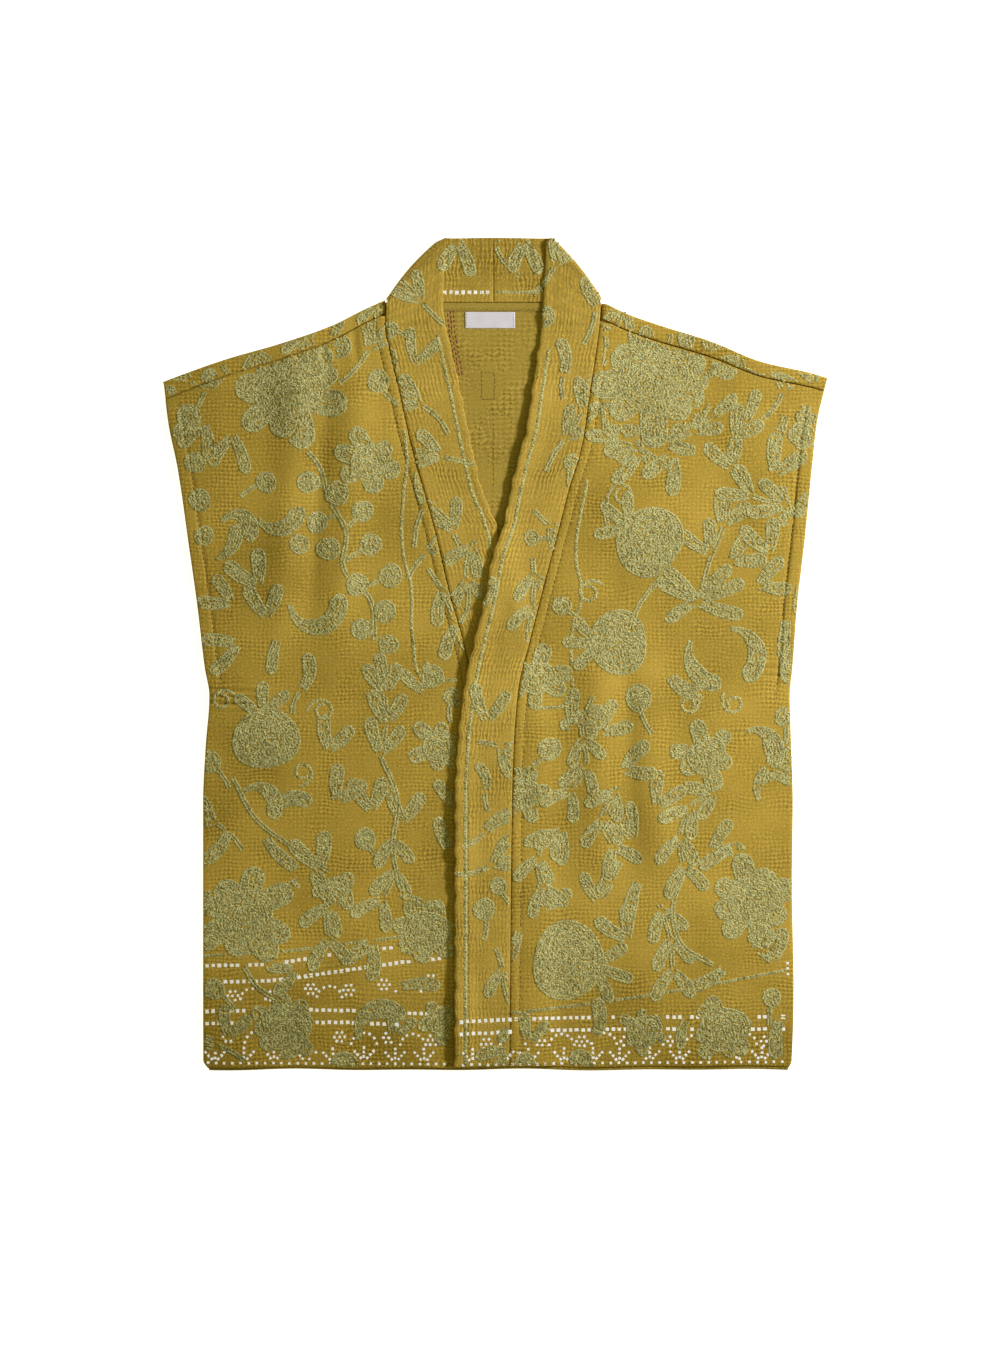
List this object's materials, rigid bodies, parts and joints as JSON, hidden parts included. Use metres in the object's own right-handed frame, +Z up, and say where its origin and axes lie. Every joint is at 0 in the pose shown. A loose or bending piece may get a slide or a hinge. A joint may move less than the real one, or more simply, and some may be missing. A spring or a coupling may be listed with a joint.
{
  "type": "embroidered waistcoat",
  "caption": "Sleeveless open-front quilted waistcoat laid flat with its front up: back, two overlapping fronts and a collar band that folds over at the neck.",
  "frame": {"origin": "centre of the bounding box at its bottom, on the surface that the garment lies on", "axes": "+X to the wearer's left (viewer's right), +Y from hem to neck, +Z up off the surface, out of the fronts"},
  "size_m": [0.598, 0.7498, 0.0092],
  "materials": {
    "quilted_cotton": "matt, crinkled between quilting rows, embroidered in sage cotton",
    "band_cotton": "matt, double quilted, embroidered in sage cotton",
    "inside_cotton": "matt olive gold, level rows of running stitch",
    "woven_label": "smooth satin weave, bare"
  },
  "bodies": {
    "root": {"back_panel": "inside_cotton", "front_right_panel": "quilted_cotton", "front_left_panel": "quilted_cotton", "collar_band_right": "band_cotton", "collar_band_left": "band_cotton", "neck_tape": "band_cotton", "woven_label": "woven_label"}
  },
  "joints": []
}
